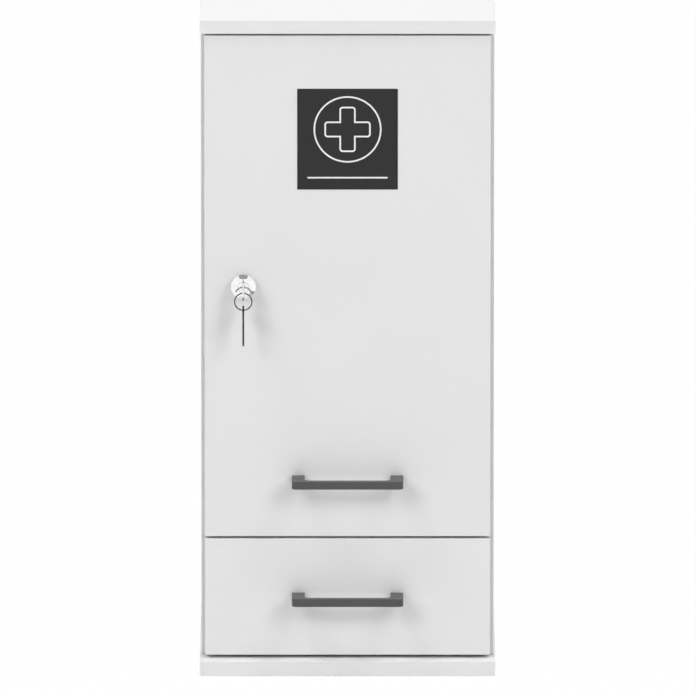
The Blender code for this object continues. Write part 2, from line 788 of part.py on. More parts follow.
def make_hinge_cup(name, height):
    """The pressed cup with its screw wings, a rod for the long link and two stubs for the short."""
    centre = (FRONT_EDGE - CUP_FROM_EDGE, DOOR_BACK)
    seat = DOOR_BACK + SEAT
    rim = seat + CUP_FLANGE
    half = CUP_WING_SPAN / 2
    narrow = CUP_WING_WIDTH / 2
    wide = CUP_RADIUS + CUP_FLANGE
    lean = math.asin(narrow / wide)
    up = math.pi / 2
    points = arc((centre[0], height), wide, lean - up, up - lean, 10)
    points += arc((centre[0], height + half - narrow), narrow, 0.0, math.pi, 8)
    points += arc((centre[0], height), wide, up + lean, 3 * up - lean, 10)
    points += arc((centre[0], height - half + narrow), narrow, math.pi, 2 * math.pi, 8)
    cup = outline_plate(name, [points], CUP_FLANGE, front_view_place(seat + CUP_FLANGE / 2))
    wall = rod(
        name + "_wall", (centre[0], seat - CUP_DEPTH, height), (centre[0], seat + CUP_FLANGE / 2, height),
        CUP_RADIUS, ROUND_SIDES, CUTTERS)
    add(cup, wall)
    hollow = rod(
        name + "_hollow", (centre[0], seat - CUP_DEPTH + CUP_FLOOR, height),
        (centre[0], rim + CUP_FLANGE, height), CUP_RADIUS - CUP_WALL, ROUND_SIDES, CUTTERS)
    cut(cup, hollow)
    for label, pin in (("long", PIN_C), ("short", PIN_D)):
        x, y = door_pin(pin)
        reach = math.sqrt((CUP_RADIUS - CUP_WALL / 2) ** 2 - (x - centre[0]) ** 2)
        if label == "long":
            spans = ((-reach, reach),)
        else:
            near = LONG_LINK_WIDTH / 2 + ARM_FLANGE_GAP + ARM_METAL
            spans = ((-reach, -near), (near, reach))
        for number, (low, high) in enumerate(spans):
            axle = rod(
                name + "_" + label + str(number), (x, y, height + low), (x, y, height + high),
                HINGE_ROD, 12, CUTTERS)
            add(cup, axle)
    smooth(cup)
    return dress(cup, hinge_nickel())


def arm_outline():
    """A flange of the hinge arm in plan, from its rear end to the nose that enters the cup."""
    rear = FRONT_PLANE + ARM_REAR
    low = SIDE_IN - PLATE_THICK - 2 * SEAT
    back = SIDE_IN - ARM_HEIGHT
    shoulder = carcass_pin(PIN_A)
    nose = carcass_pin(PIN_B)
    tip = ARM_NOSE
    points = [(low, rear), (back, rear), (back, rear - 0.030)]
    points += arc(shoulder, tip + 0.0006, 0.8 * math.pi, math.pi, 3)
    points += arc(nose, tip, math.pi, 2 * math.pi, 10)
    points += [(shoulder[0] + tip + 0.0012, shoulder[1] - 0.001), (low, shoulder[1] + 0.013)]
    return points[::-1]


def make_hinge_arm(name, height):
    """A channel over the mounting plate's rail, with a rod for the long link and a bored nose."""
    inner = LONG_LINK_WIDTH / 2 + ARM_FLANGE_GAP
    middle = inner + ARM_METAL / 2
    bored_nose = circle(carcass_pin(PIN_B), HINGE_ROD + HINGE_EYE_PLAY)
    outlines = [arm_outline(), bored_nose]
    arm = outline_plate(name, outlines, ARM_METAL, plan_place(height + middle))
    other = outline_plate(
        name + "_low_flange", outlines, ARM_METAL, plan_place(height - middle), CUTTERS)
    shoulder = carcass_pin(PIN_A)
    shoulder_rod = rod(
        name + "_rod", (*shoulder, height - middle), (*shoulder, height + middle), HINGE_ROD,
        group=CUTTERS)
    back = SIDE_IN - ARM_HEIGHT
    web = block(
        name + "_web", (back + 0.0002, FRONT_PLANE + ARM_REAR - 0.0282, height - middle),
        (back + ARM_METAL, FRONT_PLANE + ARM_REAR - 0.0002, height + middle), CUTTERS)
    for extra in (shoulder_rod, web, other):
        add(arm, extra)
    smooth(arm)
    return dress(arm, hinge_nickel())


def make_hinge_plate(name, height):
    """A cross-shaped mounting plate with the rail that the arm sits on."""
    front = FRONT_PLANE + PLATE_FROM
    rear = front + PLATE_LENGTH
    wing = FRONT_PLANE + PLATE_WING_SETBACK
    half = PLATE_WIDTH / 2
    slim = PLATE_FRONT_WIDTH / 2
    span = PLATE_WING_SPAN / 2
    wide = PLATE_WING_WIDTH / 2
    points = [(front, height - slim), (wing - wide, height - slim)]
    points += arc((wing, height - span + wide), wide, math.pi, 2 * math.pi, 6)
    points += [(wing + wide, height - half), (rear, height - half)]
    points += [(rear, height + half), (wing + wide, height + half)]
    points += arc((wing, height + span - wide), wide, 0.0, math.pi, 6)
    points += [(wing - wide, height + slim), (front, height + slim)]
    face = SIDE_IN - SEAT
    plate = outline_plate(name, [points], PLATE_THICK, side_view_place(face - PLATE_THICK / 2))
    top = face - PLATE_THICK - PLATE_RAIL_HEIGHT
    inside = LONG_LINK_WIDTH / 2 + ARM_FLANGE_GAP - SEAT
    rail = block(
        name + "_rail", (top, FRONT_PLANE + ARM_REAR - 0.030, height - inside),
        (face - PLATE_THICK / 2, FRONT_PLANE + ARM_REAR, height + inside), CUTTERS)
    add(plate, rail)
    return dress(plate, hinge_nickel())


# Lock, keys and ring

def make_lock_collar():
    """The chrome rosette: a round knob whose front is bevelled in eight flats, on a threaded tube."""
    x = LOCK_ACROSS
    back = DOOR_FACE - SEAT
    knob = rod("lock_collar", (x, COLLAR_FACE, LOCK_HEIGHT), (x, back, LOCK_HEIGHT), COLLAR_RADIUS, 48)
    round_edges(knob, 0.0005, 1)
    slope = (COLLAR_RADIUS - COLLAR_FACE_APOTHEM) / COLLAR_BEVEL_DEPTH
    near = COLLAR_FACE_APOTHEM / math.cos(math.pi / 8)
    far = (COLLAR_FACE_APOTHEM + slope * (COLLAR_THICK + SEAT)) / math.cos(math.pi / 8)
    shape = bmesh.new()
    bmesh.ops.create_cone(
        shape, cap_ends=True, segments=8, radius1=near, radius2=far, depth=COLLAR_THICK + SEAT)
    mesh = bpy.data.meshes.new("collar_flats")
    shape.to_mesh(mesh)
    shape.free()
    middle = COLLAR_FACE + (COLLAR_THICK + SEAT) / 2
    face_out = Matrix.Rotation(-math.pi / 2, 4, "X") @ Matrix.Rotation(math.pi / 8, 4, "Z")
    flats = new_object(
        "collar_flats", mesh, Matrix.Translation((x, middle, LOCK_HEIGHT)) @ face_out, CUTTERS)
    keep_inside(knob, flats)
    tube = rod(
        "collar_tube", (x, back - COLLAR_THICK / 2, LOCK_HEIGHT),
        (x, DOOR_FACE + COLLAR_TUBE_LENGTH, LOCK_HEIGHT), COLLAR_TUBE_RADIUS, ROUND_SIDES, CUTTERS)
    add(knob, tube)
    bore = rod(
        "collar_bore", (x, COLLAR_FACE - SEAT, LOCK_HEIGHT),
        (x, DOOR_FACE + COLLAR_TUBE_LENGTH + SEAT, LOCK_HEIGHT), PLUG_RADIUS + LOCK_PLAY,
        ROUND_SIDES, CUTTERS)
    cut(knob, bore)
    smooth(knob, 25)
    return dress(knob, lock_chrome())


def make_lock_plug():
    """The turning barrel: a keyway in front and a crank pin behind."""
    x = LOCK_ACROSS
    rear = BOLT_FRONT - SEAT
    plug = rod("lock_plug", (x, PLUG_FACE, LOCK_HEIGHT), (x, rear, LOCK_HEIGHT), PLUG_RADIUS, ROUND_SIDES)
    half = KEY_THICK / 2 + SEAT
    high = KEY_BLADE_WIDTH / 2 + SEAT
    keyway = block(
        "keyway", (x - half, PLUG_FACE - SEAT, LOCK_HEIGHT - high),
        (x + half, PLUG_FACE + KEY_BLADE, LOCK_HEIGHT + high), CUTTERS)
    cut(plug, keyway)
    crank = rod(
        "crank_pin", (x + BOLT_THROW / 2, rear - SEAT, LOCK_HEIGHT),
        (x + BOLT_THROW / 2, BOLT_REAR + 2 * SEAT, LOCK_HEIGHT), CRANK_RADIUS, 12, CUTTERS)
    add(plug, crank)
    smooth(plug)
    return dress(plug, lock_chrome())


def make_lock_case():
    """The lock's pressed box on the door's back, open towards the door and at the bolt."""
    front = DOOR_BACK + SEAT
    rear = front + CASE_DEPTH
    half = CASE_HEIGHT / 2
    case = block(
        "lock_case", (CASE_LEFT, front, LOCK_HEIGHT - half),
        (CASE_LEFT + CASE_WIDTH, rear, LOCK_HEIGHT + half))
    round_edges(case, 0.0010, 1)
    inside = block(
        "case_inside", (CASE_LEFT + CASE_WALL, front - 2 * SEAT, LOCK_HEIGHT - half + CASE_WALL),
        (CASE_LEFT + CASE_WIDTH - CASE_WALL, rear - CASE_WALL, LOCK_HEIGHT + half - CASE_WALL), CUTTERS)
    cut(case, inside)
    high = BOLT_HEAD_HEIGHT / 2 + BOLT_PLAY
    window = block(
        "case_window", (CASE_LEFT - CASE_WALL, BOLT_FRONT - BOLT_PLAY, LOCK_HEIGHT - high),
        (CASE_LEFT + 2 * CASE_WALL, BOLT_REAR + BOLT_PLAY, LOCK_HEIGHT + high), CUTTERS)
    cut(case, window)
    return dress(case, hinge_nickel())


def make_lock_bolt():
    """The dead bolt and its yoke, whose upright slot the crank pin works in."""
    x = LOCK_ACROSS + BOLT_THROW / 2
    slot_half = CRANK_RADIUS + YOKE_SLACK
    slot_high = BOLT_THROW / 2 + CRANK_RADIUS + BOLT_PLAY
    yoke_half = slot_half + YOKE_RIM
    yoke_high = slot_high + YOKE_RIM
    head_high = BOLT_HEAD_HEIGHT / 2
    end = CASE_LEFT + SEAT
    z = LOCK_HEIGHT
    body = [
        (end, z - head_high), (x - yoke_half, z - head_high), (x - yoke_half, z - yoke_high),
        (x + yoke_half, z - yoke_high), (x + yoke_half, z + yoke_high), (x - yoke_half, z + yoke_high),
        (x - yoke_half, z + head_high), (end, z + head_high)]
    slot = [
        (x - slot_half, z - slot_high), (x + slot_half, z - slot_high),
        (x + slot_half, z + slot_high), (x - slot_half, z + slot_high)]
    middle = (BOLT_FRONT + BOLT_REAR) / 2
    bolt = outline_plate("lock_bolt", [body, slot], BOLT_THICK, front_view_place(middle))
    return dress(bolt, key_nickel())


def key_outlines():
    """A flat key pointing along +X from the end of its bow, and the slot for its ring."""
    bow = KEY_BOW_LENGTH / 2
    wide = KEY_BOW_WIDTH / 2
    neck = KEY_SHOULDER_WIDTH / 2
    blade = KEY_BLADE_WIDTH / 2
    reach = math.pi - math.asin(neck / wide)
    points = []
    steps = 20
    for step in range(steps + 1):
        angle = math.pi - reach + 2 * reach * step / steps
        points.append((bow + bow * math.cos(angle), wide * math.sin(angle)))
    shoulder = KEY_BOW_LENGTH + KEY_SHOULDER
    points += [(shoulder, -neck), (shoulder, -blade), (KEY_LENGTH - KEY_TIP, -blade)]
    points += [(KEY_LENGTH, 0.0), (KEY_LENGTH - KEY_TIP, blade)]
    pitch = (KEY_BLADE - KEY_TIP) / (len(KEY_NOTCH_DEPTHS) + 1)
    for number, depth in enumerate(KEY_NOTCH_DEPTHS):
        middle = KEY_LENGTH - KEY_TIP - pitch * (number + 1)
        points += [(middle + pitch * 0.4, blade), (middle + pitch * 0.1, blade - depth)]
        points += [(middle - pitch * 0.1, blade - depth), (middle - pitch * 0.4, blade)]
    points += [(shoulder, blade), (shoulder, neck)]
    first = KEY_SLOT_FROM_END
    last = first + KEY_SLOT[0]
    high = KEY_SLOT[1] / 2
    slot = [(first, -high), (last, -high), (last, high), (first, high)]
    return [points, slot]


def make_keys():
    """The key in the lock, and its twin that hangs in the ring."""
    x = LOCK_ACROSS
    pointing_in = Matrix(((0, 0, 1, x), (1, 0, 0, KEY_END), (0, 1, 0, LOCK_HEIGHT), (0, 0, 0, 1)))
    hanging = Matrix(((0, 0, 1, x), (0, 1, 0, RING_PLANE), (-1, 0, 0, SPARE_TOP), (0, 0, 0, 1)))
    keys = []
    for name, place in (("door_key", pointing_in), ("spare_key", hanging)):
        key = outline_plate(name, key_outlines(), KEY_THICK, place)
        round_edges(key, 0.0003, 1)
        keys.append(dress(key, key_nickel()))
    return keys


def make_key_ring():
    """A plain wire ring, upright across the keys."""
    bpy.ops.mesh.primitive_torus_add(
        major_radius=RING_RADIUS, minor_radius=RING_WIRE, major_segments=36, minor_segments=8,
        location=(LOCK_ACROSS, RING_PLANE, RING_MIDDLE), rotation=(math.pi / 2, 0, 0))
    ring = bpy.context.active_object
    for group in list(ring.users_collection):
        group.objects.unlink(ring)
    PARTS.objects.link(ring)
    ring.name = "key_ring"
    smooth(ring, 60)
    return dress(ring, key_nickel())


def make_bumpers():
    """Two soft stops on the door's back, where it meets the left side panel's edge."""
    thick = FRONT_STANDOFF - 2 * SEAT
    across = -(SIDE_IN + FRONT_EDGE) / 2
    profile = [
        (0.0, thick), (BUMPER_RADIUS * 0.55, thick * 0.92), (BUMPER_RADIUS * 0.9, thick * 0.5),
        (BUMPER_RADIUS, 0.0), (0.0, 0.0)]
    bumpers = []
    heights = {"upper": DOOR_TOP - BUMPER_FROM_END, "lower": DOOR_FOOT + BUMPER_FROM_END}
    for label, height in heights.items():
        place = Matrix.Translation((across, DOOR_BACK + SEAT, height))
        lie = Matrix.Rotation(-math.pi / 2, 4, "X")
        bumper = turned(label + "_door_bumper", profile, SMALL_SIDES, place @ lie)
        smooth(bumper)
        bumpers.append(dress(bumper, bumper_clear()))
    return bumpers


# Drawer

def make_drawer_boards():
    """The box behind the drawer front: two grooved sides, a back and a thin bottom."""
    foot = DRAWER_BOX_FOOT
    top = foot + DRAWER_BOX_HEIGHT
    floor = foot + DRAWER_BOTTOM_RISE
    floor_top = floor + DRAWER_BOTTOM_THICK
    groove_out = DRAWER_IN + DRAWER_GROOVE
    boards = []
    for side, sign in (("left", -1), ("right", 1)):
        low = (min(sign * DRAWER_IN, sign * DRAWER_OUT), DRAWER_FRONT_END, foot)
        high = (max(sign * DRAWER_IN, sign * DRAWER_OUT), DRAWER_REAR, top)
        panel = block("drawer_" + side + "_side", low, high)
        round_edges(panel, EDGE_ROUND, 1)
        across = sorted((sign * (DRAWER_IN - SEAT), sign * groove_out))
        groove = block(
            "drawer_groove_" + side, (across[0], DRAWER_FRONT_END - SEAT, floor - SEAT),
            (across[1], DRAWER_REAR + SEAT, floor_top + SEAT), CUTTERS)
        cut(panel, groove)
        boards.append(dress(panel, board_white()))
    half = DRAWER_IN - SEAT
    back = block(
        "drawer_back", (-half, DRAWER_REAR - DRAWER_BOARD, floor_top + SEAT), (half, DRAWER_REAR, top))
    round_edges(back, EDGE_ROUND, 1)
    boards.append(dress(back, board_white()))
    reach = groove_out - SEAT
    bottom = block(
        "drawer_bottom", (-reach, DOOR_BACK - DRAWER_GROOVE + SEAT, floor),
        (reach, DRAWER_REAR, floor_top))
    boards.append(dress(bottom, back_board_white()))
    return boards


def cut_bottom_groove(front):
    """Groove the drawer front for the bottom panel."""
    floor = DRAWER_BOX_FOOT + DRAWER_BOTTOM_RISE
    half = DRAWER_IN + DRAWER_GROOVE
    groove = block(
        "front_groove", (-half, DOOR_BACK - DRAWER_GROOVE, floor - SEAT),
        (half, DOOR_BACK + SEAT, floor + DRAWER_BOTTOM_THICK + SEAT), CUTTERS)
    cut(front, groove)


def runner_profile(sign, points):
    """A rail's section, drawn for the right side and mirrored for the left."""
    drawn = [(sign * across, height) for across, height in points]
    return drawn if sign > 0 else drawn[::-1]


def make_cabinet_rail(side, sign):
    """The channel on the side panel, with the front roller's axle."""
    face = SIDE_IN - SEAT
    web = face - RAIL_METAL
    lip = DRAWER_OUT + SEAT + RAIL_METAL + 2 * RAIL_PLAY
    low = RAIL_FLOOR - RAIL_METAL
    head = FLANGE_UNDERSIDE + RAIL_METAL + CHANNEL_HEAD_PLAY
    points = [
        (lip, low), (face, low), (face, head + RAIL_METAL), (lip + RAIL_METAL, head + RAIL_METAL),
        (lip + RAIL_METAL, head), (web, head), (web, RAIL_FLOOR), (lip, RAIL_FLOOR)]
    middle = FRONT_PLANE + RAIL_SETBACK + RAIL_LENGTH / 2
    rail = outline_plate(
        "cabinet_rail_" + side, [runner_profile(sign, points)], RAIL_LENGTH, front_view_place(middle))
    axle = rod(
        "front_axle_" + side, (sign * (web + RAIL_METAL / 2), FRONT_ROLLER_AXIS, ROLLER_HEIGHT),
        (sign * (lip + SEAT), FRONT_ROLLER_AXIS, ROLLER_HEIGHT), AXLE_RADIUS, group=CUTTERS)
    add(rail, axle)
    return dress(rail, rail_white())


def make_drawer_rail(side, sign):
    """The angled rail under the drawer side, with its running flange and the rear roller's axle."""
    face = DRAWER_OUT + SEAT
    web = face + RAIL_METAL
    tip = SIDE_IN - SEAT - RAIL_METAL - 2 * RAIL_PLAY
    low = RAIL_FLOOR - RAIL_METAL
    points = [
        (DRAWER_IN, low), (web, low), (web, FLANGE_UNDERSIDE), (tip, FLANGE_UNDERSIDE),
        (tip, FLANGE_UNDERSIDE + RAIL_METAL), (face, FLANGE_UNDERSIDE + RAIL_METAL),
        (face, RAIL_FLOOR), (DRAWER_IN, RAIL_FLOOR)]
    length = DRAWER_DEPTH - RAIL_SETBACK
    rail = outline_plate(
        "drawer_rail_" + side, [runner_profile(sign, points)], length,
        front_view_place(DRAWER_REAR - length / 2))
    axle = rod(
        "rear_axle_" + side, (sign * (web - RAIL_METAL / 2), REAR_ROLLER_AXIS, ROLLER_HEIGHT),
        (sign * (tip - SEAT), REAR_ROLLER_AXIS, ROLLER_HEIGHT), AXLE_RADIUS, group=CUTTERS)
    add(rail, axle)
    return dress(rail, rail_white())


def make_roller(name, sign, depth):
    """A nylon roller on its axle."""
    inner = DRAWER_OUT + SEAT + RAIL_METAL
    outer = SIDE_IN - SEAT - RAIL_METAL
    half = ROLLER_WIDTH / 2
    edge = ROLLER_EDGE
    profile = [
        (ROLLER_BORE, half), (ROLLER_RADIUS - edge, half), (ROLLER_RADIUS, half - edge),
        (ROLLER_RADIUS, edge - half), (ROLLER_RADIUS - edge, -half), (ROLLER_BORE, -half),
        (ROLLER_BORE, half)]
    place = Matrix.Translation((sign * (inner + outer) / 2, depth, ROLLER_HEIGHT))
    lie = Matrix.Rotation(math.pi / 2, 4, "Y")
    roller = turned(name, profile, 24, place @ lie)
    smooth(roller)
    return dress(roller, roller_nylon())


# Assembly

def build_carcass():
    make_top_panel()
    make_base_panel()
    left = make_side_panel("left_side_panel", -1)
    cut_bolt_pocket(left)
    make_side_panel("right_side_panel", 1)
    make_lock_strike()
    make_back_panel()
    make_divider_panel()
    make_shelves()
    make_shelf_pins()
    for side, sign in (("left", -1), ("right", 1)):
        make_cabinet_rail(side, sign)


def build_lock():
    """The lock's pieces, each on the empty of its own joint."""
    axis = (LOCK_ACROSS, PLUG_FACE, LOCK_HEIGHT)
    plug_pivot = pivot("lock_pivot", axis)
    bolt_slide = pivot("bolt_slide", (LOCK_ACROSS, BOLT_FRONT, LOCK_HEIGHT))
    ring_pivot = pivot("ring_pivot", (LOCK_ACROSS, RING_PLANE, RING_TOP_WIRE))
    spare_pivot = pivot("spare_pivot", (LOCK_ACROSS, RING_PLANE, RING_LOW_WIRE))
    door_key, spare_key = make_keys()
    hang([make_lock_plug(), door_key], plug_pivot)
    hang([make_lock_bolt()], bolt_slide)
    hang([make_key_ring()], ring_pivot)
    hang([spare_key], spare_pivot)


def build_door():
    """The door, its hinges, handle and lock."""
    height = DOOR_FOOT + DOOR_HANDLE_RISE
    door = make_front("door_panel", DOOR_FOOT, DOOR_TOP)
    cut_screw_holes(door, height)
    lock_bore = rod(
        "lock_bore", (LOCK_ACROSS, DOOR_FACE - SEAT, LOCK_HEIGHT),
        (LOCK_ACROSS, DOOR_BACK + SEAT, LOCK_HEIGHT), COLLAR_TUBE_RADIUS + LOCK_PLAY,
        ROUND_SIDES, CUTTERS)
    cut(door, lock_bore)
    riding = [door, make_handle("door_handle", height)]
    riding += make_handle_screws("door_handle_screw", height)
    riding += [make_lock_collar(), make_lock_case()] + make_bumpers()
    hinge_heights = {"upper": DOOR_TOP - HINGE_FROM_END, "lower": DOOR_FOOT + HINGE_FROM_END}
    for label, level in hinge_heights.items():
        centre = (FRONT_EDGE - CUP_FROM_EDGE, level)
        bore = rod(
            label + "_cup_bore", (centre[0], DOOR_BACK + SEAT - CUP_DEPTH - CUP_PLAY, level),
            (centre[0], DOOR_BACK + SEAT, level), CUP_RADIUS + CUP_PLAY, ROUND_SIDES, CUTTERS)
        cut(door, bore)
        make_hinge_plate(label + "_hinge_plate", level)
        make_hinge_arm(label + "_hinge_arm", level)
        riding.append(make_hinge_cup(label + "_hinge_cup", level))
        long_pivot = pivot(label + "_long_link_pivot", (*carcass_pin(PIN_A), level))
        hang([make_long_link(label + "_long_link", level)], long_pivot)
        short_pivot = pivot(label + "_short_link_pivot", (*carcass_pin(PIN_B), level))
        hang([make_short_link(label + "_short_link", level)], short_pivot)
    door_pivot = pivot("door_pivot", (*door_pin(PIN_C), (DOOR_FOOT + DOOR_TOP) / 2))
    hang(riding, door_pivot)
    build_lock()


def build_drawer():
    """The drawer, its handle, rails and rollers."""
    height = DRAWER_FRONT_FOOT + DRAWER_HANDLE_RISE
    front = make_front("drawer_front", DRAWER_FRONT_FOOT, DRAWER_FRONT_TOP)
    cut_screw_holes(front, height)
    cut_bottom_groove(front)
    riding = [front, make_handle("drawer_handle", height)]
    riding += make_handle_screws("drawer_handle_screw", height)
    riding += make_drawer_boards()
    for side, sign in (("left", -1), ("right", 1)):
        riding.append(make_drawer_rail(side, sign))
        front_roller = make_roller("front_roller_" + side, sign, FRONT_ROLLER_AXIS)
        rear_roller = make_roller("rear_roller_" + side, sign, REAR_ROLLER_AXIS)
        across = front_roller.matrix_world.translation.x
        hang([front_roller], pivot("front_roller_pivot_" + side, (across, FRONT_ROLLER_AXIS, ROLLER_HEIGHT)))
        hang([rear_roller], pivot("rear_roller_pivot_" + side, (across, REAR_ROLLER_AXIS, ROLLER_HEIGHT)))
    hang(riding, pivot("drawer_slide", (0, DRAWER_FRONT_END, RAIL_FLOOR)))


build_carcass()
build_door()
build_drawer()
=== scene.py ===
"""The looks of the medicine cabinet: finishes, sign, small fasteners, camera, floor and light.

Metres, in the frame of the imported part: +Z up, the fronts face -Y.
"""

import json
import math

import bmesh
import bpy
from mathutils import Matrix, Vector


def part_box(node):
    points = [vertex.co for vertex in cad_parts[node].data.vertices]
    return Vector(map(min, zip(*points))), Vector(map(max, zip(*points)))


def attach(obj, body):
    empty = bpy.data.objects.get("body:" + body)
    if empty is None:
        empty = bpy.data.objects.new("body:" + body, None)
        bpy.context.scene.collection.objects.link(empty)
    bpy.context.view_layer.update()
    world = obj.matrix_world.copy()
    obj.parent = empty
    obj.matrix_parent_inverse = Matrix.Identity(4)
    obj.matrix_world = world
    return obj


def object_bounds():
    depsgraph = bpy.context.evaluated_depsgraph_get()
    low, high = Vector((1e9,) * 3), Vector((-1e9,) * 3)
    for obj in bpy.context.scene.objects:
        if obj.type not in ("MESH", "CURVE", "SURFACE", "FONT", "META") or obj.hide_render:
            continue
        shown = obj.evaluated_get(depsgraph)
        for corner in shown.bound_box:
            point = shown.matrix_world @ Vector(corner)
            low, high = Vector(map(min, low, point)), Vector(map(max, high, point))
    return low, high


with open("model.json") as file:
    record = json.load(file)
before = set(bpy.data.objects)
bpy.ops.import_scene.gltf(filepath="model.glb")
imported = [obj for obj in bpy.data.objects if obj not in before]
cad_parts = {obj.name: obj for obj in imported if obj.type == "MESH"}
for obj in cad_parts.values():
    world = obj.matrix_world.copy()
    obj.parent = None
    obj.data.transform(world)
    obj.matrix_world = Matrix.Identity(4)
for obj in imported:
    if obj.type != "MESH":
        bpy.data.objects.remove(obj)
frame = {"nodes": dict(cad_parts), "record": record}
CAD_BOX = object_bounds()
NODES = frame["nodes"]

QUARTER_TURN = math.pi / 2

# Colours, linear
WHITE = (1.0, 1.0, 1.0)
WHITE_FRONT = (0.80, 0.80, 0.80)
WHITE_BOARD = (0.80, 0.80, 0.80)
WHITE_THIN_BOARD = (0.74, 0.74, 0.73)
# Painted shade: the greyer tone of the board edges stands in for the shade in the gaps and recesses
EDGE_SHADE = (0.71, 0.71, 0.70)
HANDLE_GREY = (0.075, 0.075, 0.075)
SIGN_DARK = (0.024, 0.024, 0.025)
SIGN_WHITE = (0.86, 0.86, 0.86)
CHROME = (0.96, 0.96, 0.965)
RING_STEEL = (0.045, 0.045, 0.048)
NICKEL = (0.62, 0.61, 0.58)
KEY_NICKEL = (0.88, 0.87, 0.85)
ZINC = (0.58, 0.59, 0.60)
RAIL_WHITE = (0.72, 0.72, 0.71)
NYLON = (0.68, 0.68, 0.64)
CLEAR_STOP = (0.70, 0.72, 0.72)

# Painted shade on the board edges in the gaps and recesses, as a greyer band: its thickness, and how far a
# front's face turns before it counts as an edge
SHADE_BAND_THICK = 0.0006
EDGE_NORMAL = 0.5

# Camera: it looks down at the middle of the fronts from far away
TILT = math.radians(13.0)
VIEW_WIDTH = 0.9029
CAMERA_DISTANCE = 30.0
CAMERA_CLIP = (0.5, 60.0)
TARGET_ACROSS = 0.0006
TARGET_HEIGHT = 0.4291
SENSOR = 36.0

# Floor: a disc just under the base, and the share of white in what is seen of it
FLOOR_TONE = (0.80, 0.80, 0.80)
FLOOR_ROUGHNESS = 0.9
FLOOR_RADIUS = 9.0
FLOOR_SIDES = 96
FLOOR_DROP = 0.0002
FLOOR_WHITE_SHARE = 0.98

# World: its light, and the grey ceiling of the white room, by the height of a direction
WORLD_LIGHT = 0.10
CEILING_START = 0.84
CEILING_END = 0.88
CEILING_TONE = (0.33, 0.33, 0.33)

# Lamps: turn from the front and height angle in degrees, and watts
LAMP_DISTANCE = 8.0
LAMP_SIZE = 2.6
LAMPS = {
    "left_lamp": (-40, 30, 140.0),
    "right_lamp": (40, 30, 140.0),
    "low_left_lamp": (-40, 18, 46.0),
    "low_right_lamp": (40, 18, 46.0),
    "side_left_lamp": (-70, 60, 219.0),
    "side_right_lamp": (70, 60, 219.0),
    "back_left_lamp": (-140, 25, 150.0),
    "back_right_lamp": (140, 25, 150.0),
}

# Sign on the door
SIGN_WIDTH = 0.1303
SIGN_HEIGHT = 0.1335
SIGN_MIDDLE = 0.7110
SIGN_THICK = 0.0003
SIGN_CORNER = 0.0006
PRINT_THICK = 0.00006
MOTIF_STROKE = 0.0021
MOTIF_RADIUS = 0.0440
MOTIF_LIFT = 0.0130
RING_SIDES = 64
PLUS_REACH = 0.0300
PLUS_HALF_WIDTH = 0.0105
PLUS_CORNER = 0.0042
PLUS_INNER_CORNER = 0.0024
RULE_DROP = 0.0510
RULE_HALF_LENGTH = 0.0520
RULE_CORNER = MOTIF_STROKE / 2 - 0.0001
BOX_CORNER_STEPS = 6
PLUS_CORNER_STEPS = 5
WELD_DISTANCE = 0.000001

# Heads of the small screws and nails: radius and height
PLATE_SCREW = (0.0034, 0.0011)
ARM_SCREW = (0.0030, 0.0009)
CUP_SCREW = (0.0036, 0.0011)
STRIKE_SCREW = (0.0026, 0.0005)
CASE_SCREW = (0.0026, 0.0008)
RAIL_SCREW = (0.0031, 0.0007)
BACK_NAIL = (0.0020, 0.0005)

# Their shape, in shares of radius and height, and how far each turns past the one before it
HEAD_PROFILE = ((1.0, 0.0), (1.0, 0.40), (0.94, 0.68), (0.80, 0.90), (0.55, 1.0))
HEAD_SIDES = 32
FLAT_FACE = 0.95
RECESS_REACH = 0.52
RECESS_HALF_WIDTH = 0.11
RECESS_FOOT = 0.30
RECESS_FOOT_SIZE = 0.6
RECESS_HEAD = 1.3
RECESS_HEAD_SIZE = 1.1
SCREW_TURN = 0.65

# Where they stand, from the edges or the middle of the pieces that they hold
HINGE_SCREW_REACH = 0.018
ARM_SCREWS_AHEAD = (0.006, 0.021)
CUP_SCREW_REACH = 0.024
CASE_CORNER = 0.0045
STRIKE_END = 0.0065
NAIL_IN_LAP = 0.0045
NAIL_PITCH = 0.100
RAIL_METAL = 0.0012

# Where they stand in the part's frame
PLATE_WING_FACE = 0.1697
PLATE_WING_DEPTH = -0.0940
ARM_WEB_FACE = 0.1627
ROLLER_HEIGHT = 0.0470
CABINET_RAIL_SCREWS = (-0.095, 0.0, 0.095)
DRAWER_RAIL_SCREWS = (-0.110, 0.095)
DIVIDER_NAILS = (-0.120, -0.040, 0.040, 0.120)


# Node helpers

def new_material(name, colour, roughness, metallic=0.0):
    """A Principled material with its node tree and shader."""
    material = bpy.data.materials.new(name)
    material.use_nodes = True
    tree = material.node_tree
    shader = tree.nodes["Principled BSDF"]
    shader.inputs["Base Color"].default_value = (*colour, 1.0)
    shader.inputs["Roughness"].default_value = roughness
    shader.inputs["Metallic"].default_value = metallic
    material.diffuse_color = (*colour, 1.0)
    return material, tree, shader


def coordinates(tree, stretch=(1.0, 1.0, 1.0)):
    """Places on the piece in metres, which move with it, stretched along each axis."""
    source = tree.nodes.new("ShaderNodeTexCoord")
    mapping = tree.nodes.new("ShaderNodeMapping")
    mapping.inputs["Scale"].default_value = stretch
    tree.links.new(source.outputs["Object"], mapping.inputs["Vector"])
    return mapping.outputs["Vector"]


def along_axis(tree, kind, axis):
    """One axis of a kind of texture coordinate."""
    source = tree.nodes.new("ShaderNodeTexCoord")
    split = tree.nodes.new("ShaderNodeSeparateXYZ")
    tree.links.new(source.outputs[kind], split.inputs["Vector"])
    return split.outputs[axis]


def noise(tree, places, scale, detail=3.0):
    """Soft random values from 0 to 1."""
    texture = tree.nodes.new("ShaderNodeTexNoise")
    texture.inputs["Scale"].default_value = scale
    texture.inputs["Detail"].default_value = detail
    tree.links.new(places, texture.inputs["Vector"])
    return texture.outputs["Fac"]


